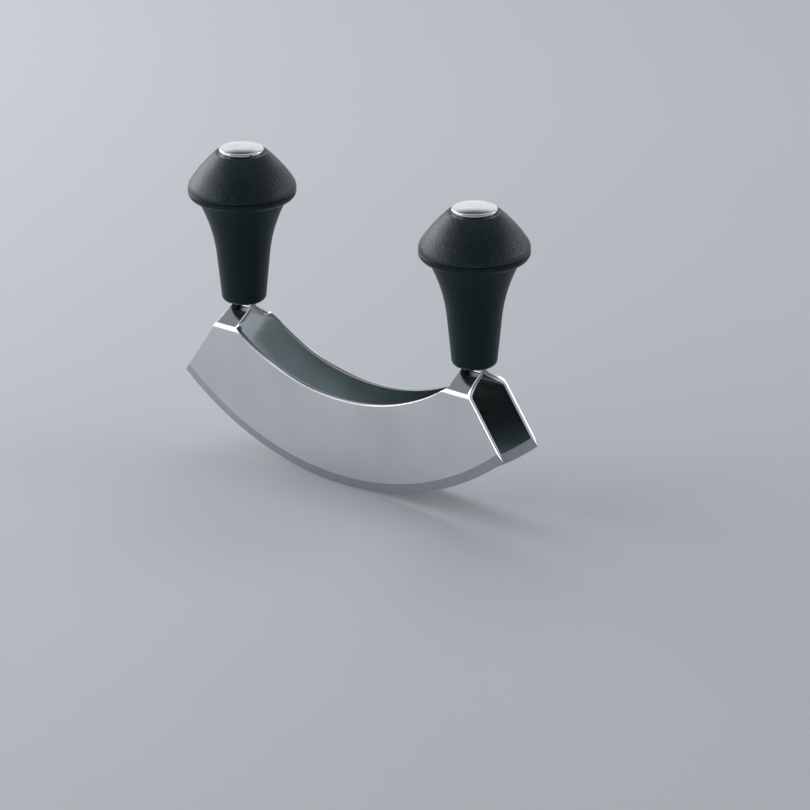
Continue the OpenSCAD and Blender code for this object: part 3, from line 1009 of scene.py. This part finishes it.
@dataclass
class Studio:
    """Pale floor, soft lamps and the photograph's camera."""

    azimuth: float = 39.33
    elevation: float = 21.38
    roll: float = -0.335
    distance: float = 1.629
    lens_mm: float = 200.47
    target: tuple[float, float, float] = (0.0222, 0.0, 0.0331)
    lamp_aim: float = 0.06
    floor_reach: float = 3.0
    floor_gap: float = 0.0001
    floor_colour: str = "#cbced4"
    floor_patches: str = "#ced1d6"
    horizon_colour: str = "#fbfbfc"
    window_colour: str = "#f6f7f9"
    lintel_colour: str = "#484d53"
    ceiling_colour: str = "#92979d"
    room_colour: str = "#5c6167"

    def floor(self) -> None:
        """Lays a wide matt floor just under the cutting edges."""
        reach, turns = self.floor_reach, np.linspace(0, 2 * math.pi, 96, False)
        ring = [(reach * math.cos(a), reach * math.sin(a), -self.floor_gap) for a in turns]
        mesh = bpy.data.meshes.new("floor")
        mesh.from_pydata(ring, [], [list(range(len(ring)))])
        material, tree, out = new_material("floor_matt_paint")
        where = add_node(tree, "ShaderNodeTexCoord").outputs["Object"]
        mottle = add_node(tree, "ShaderNodeTexNoise", {
            "Vector": where, "Scale": 3.0, "Detail": 2.0,
        }).outputs[0]
        colour = ramp(tree, mottle, [(0.3, linear(self.floor_colour)), (0.7, linear(self.floor_patches))])
        shader = add_node(tree, "ShaderNodeBsdfPrincipled", {"Base Color": colour, "Roughness": 0.6})
        tree.links.new(shader.outputs[0], out.inputs[0])
        mesh.materials.append(material)
        floor = bpy.data.objects.new("floor", mesh)
        bpy.context.scene.collection.objects.link(floor)

    def world(self) -> None:
        """Lights the room: bright walls, a dark band above, a grey ceiling, and dim behind the camera."""
        world = bpy.data.worlds.new("studio")
        bpy.context.scene.world = world
        world.use_nodes = True
        tree = world.node_tree
        tree.nodes.clear()
        direction = add_node(tree, "ShaderNodeTexCoord").outputs["Generated"]
        height = add_node(tree, "ShaderNodeSeparateXYZ", {0: direction}).outputs[2]
        walls = ramp(tree, height, [
            (0.0, linear(self.horizon_colour)), (0.41, linear(self.window_colour)),
            (0.54, linear(self.lintel_colour)), (0.62, linear(self.lintel_colour)),
            (0.74, linear(self.ceiling_colour)), (1.0, linear(self.ceiling_colour)),
        ])
        turn = math.radians(self.azimuth)
        towards = (math.sin(turn), -math.cos(turn), 0.0)
        facing = add_node(tree, "ShaderNodeVectorMath", {0: direction, 1: towards}, operation="DOT_PRODUCT")
        behind = add_node(tree, "ShaderNodeMapRange", {
            0: facing.outputs["Value"], 1: 0.25, 2: 0.85, 3: 0.0, 4: 1.0,
        }, interpolation_type="SMOOTHSTEP").outputs[0]
        colour = add_node(tree, "ShaderNodeMix", {
            "Factor": behind, 6: walls, 7: linear(self.room_colour),
        }, data_type="RGBA").outputs[2]
        back = add_node(tree, "ShaderNodeBackground", {"Color": colour, "Strength": 1.0})
        out = add_node(tree, "ShaderNodeOutputWorld")
        tree.links.new(back.outputs[0], out.inputs[0])

    def lamp(self, panel: Panel) -> None:
        """Hangs a soft panel that faces the object.

        Args:
            panel: the lamp's place, size and power.
        """
        light = bpy.data.lights.new(panel.name, "AREA")
        light.shape = "RECTANGLE"
        light.size, light.size_y = panel.size
        light.energy = panel.power
        lamp = bpy.data.objects.new(panel.name, light)
        aim = Vector((0, 0, self.lamp_aim)) - Vector(panel.place)
        turn = aim.to_track_quat("-Z", "Y").to_matrix().to_4x4()
        lamp.matrix_world = Matrix.Translation(panel.place) @ turn
        bpy.context.scene.collection.objects.link(lamp)

    def camera(self) -> None:
        """Puts the camera at the direction, distance and lens that the photograph was taken with."""
        azimuth, elevation = math.radians(self.azimuth), math.radians(self.elevation)
        back = Vector((
            math.sin(azimuth) * math.cos(elevation),
            -math.cos(azimuth) * math.cos(elevation),
            math.sin(elevation),
        ))
        data = bpy.data.cameras.new("photo_camera")
        data.lens = self.lens_mm
        data.sensor_width = 36.0
        data.sensor_fit = "HORIZONTAL"
        data.clip_start = 0.05
        camera = bpy.data.objects.new("photo_camera", data)
        turn = back.to_track_quat("Z", "Y").to_matrix() @ Matrix.Rotation(math.radians(self.roll), 3, "Z")
        camera.matrix_world = Matrix.Translation(Vector(self.target) + self.distance * back) @ turn.to_4x4()
        bpy.context.scene.collection.objects.link(camera)
        bpy.context.scene.camera = camera

    def build(self) -> None:
        """Sets up floor, light and camera."""
        self.floor()
        self.world()
        for panel in PANELS:
            self.lamp(panel)
        self.camera()
        bpy.context.scene.view_settings.view_transform = "Standard"


def main() -> None:
    """Builds the blades, the handles and the studio."""
    logging.basicConfig(level=logging.INFO, format="%(message)s")
    sheet_finishes = OUTER_SHEET, GroundBevel(), BlankedEdge(), INNER_SHEET_PAINTED_SHADE
    blade_finishes = [finish.material() for finish in sheet_finishes]
    Crescents().build(blade_finishes)
    stem, head, cap = STEM_PLASTIC.material(), HEAD_PLASTIC.material(), CAP_STEEL.material()
    zinc, rivet = FASTENER_ZINC.material(), RIVET_STEEL.material()
    for side in Side:
        handle = Handle(side)
        handle.stem(stem)
        handle.head(head)
        handle.cap(cap)
        handle.fasteners(zinc, rivet)
    Studio().build()


if __name__ == "__main__":
    main()
